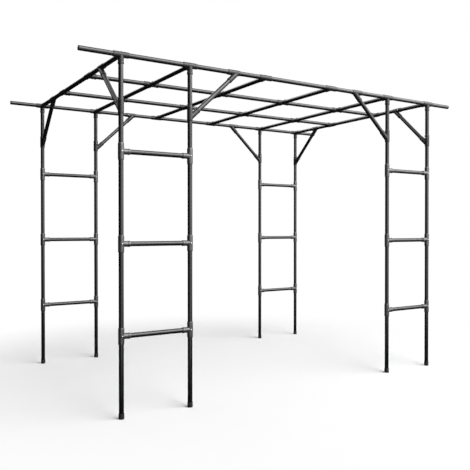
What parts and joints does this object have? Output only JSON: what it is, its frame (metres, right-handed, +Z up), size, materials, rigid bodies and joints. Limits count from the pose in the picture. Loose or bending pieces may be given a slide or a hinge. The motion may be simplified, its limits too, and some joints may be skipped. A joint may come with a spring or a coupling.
{
  "type": "garden arch",
  "caption": "Free-standing garden arch of steel tube: four ladder legs carry a flat grid roof, with braces at the corners and cast sleeve fittings at every crossing.",
  "frame": {"origin": "on the ground under the middle of the roof", "axes": "+X from left to right along the front, +Y from front to back, +Z up"},
  "size_m": [3.3866, 1.9196, 2.3198],
  "materials": {
    "tube_paint": "semi-gloss charcoal paint on steel tube",
    "fitting_paint": "satin dark grey paint on a casting",
    "cap_plastic": "matt black"
  },
  "bodies": {
    "root": {"foot_cap_front_left_outer": "cap_plastic", "foot_cap_front_left_inner": "cap_plastic", "foot_cap_back_left_outer": "cap_plastic", "foot_cap_back_left_inner": "cap_plastic", "foot_cap_back_right_outer": "cap_plastic", "foot_cap_back_right_inner": "cap_plastic", "foot_cap_front_right_outer": "cap_plastic", "foot_cap_front_right_inner": "cap_plastic", "post_front_left_outer": "tube_paint", "post_front_left_inner": "tube_paint", "post_back_left_outer": "tube_paint", "post_back_left_inner": "tube_paint", "post_back_right_outer": "tube_paint", "post_back_right_inner": "tube_paint", "post_front_right_outer": "tube_paint", "post_front_right_inner": "tube_paint", "rung_front_left_1": "tube_paint", "rung_front_left_2": "tube_paint", "rung_front_left_3": "tube_paint", "rung_back_left_1": "tube_paint", "rung_back_left_2": "tube_paint", "rung_back_left_3": "tube_paint", "rung_back_right_1": "tube_paint", "rung_back_right_2": "tube_paint", "rung_back_right_3": "tube_paint", "rung_front_right_1": "tube_paint", "rung_front_right_2": "tube_paint", "rung_front_right_3": "tube_paint", "brace_front_left_along": "tube_paint", "brace_front_left_across": "tube_paint", "brace_back_left_along": "tube_paint", "brace_back_left_across": "tube_paint", "brace_back_right_along": "tube_paint", "brace_back_right_across": "tube_paint", "brace_front_right_along": "tube_paint", "brace_front_right_across": "tube_paint", "long_rail_front": "tube_paint", "long_rail_back": "tube_paint", "rail_plug_front_left": "cap_plastic", "rail_plug_front_right": "cap_plastic", "rail_plug_back_left": "cap_plastic", "rail_plug_back_right": "cap_plastic", "post_top_front_1": "fitting_paint", "post_top_front_2": "fitting_paint", "post_top_front_3": "fitting_paint", "post_top_front_4": "fitting_paint", "post_top_back_1": "fitting_paint", "post_top_back_2": "fitting_paint", "post_top_back_3": "fitting_paint", "post_top_back_4": "fitting_paint", "cross_rail_1": "tube_paint", "cross_rail_2": "tube_paint", "cross_rail_3": "tube_paint", "cross_rail_4": "tube_paint", "cross_rail_5": "tube_paint", "cross_rail_6": "tube_paint", "inner_rail_1": "tube_paint", "inner_rail_2": "tube_paint"}
  },
  "joints": []
}
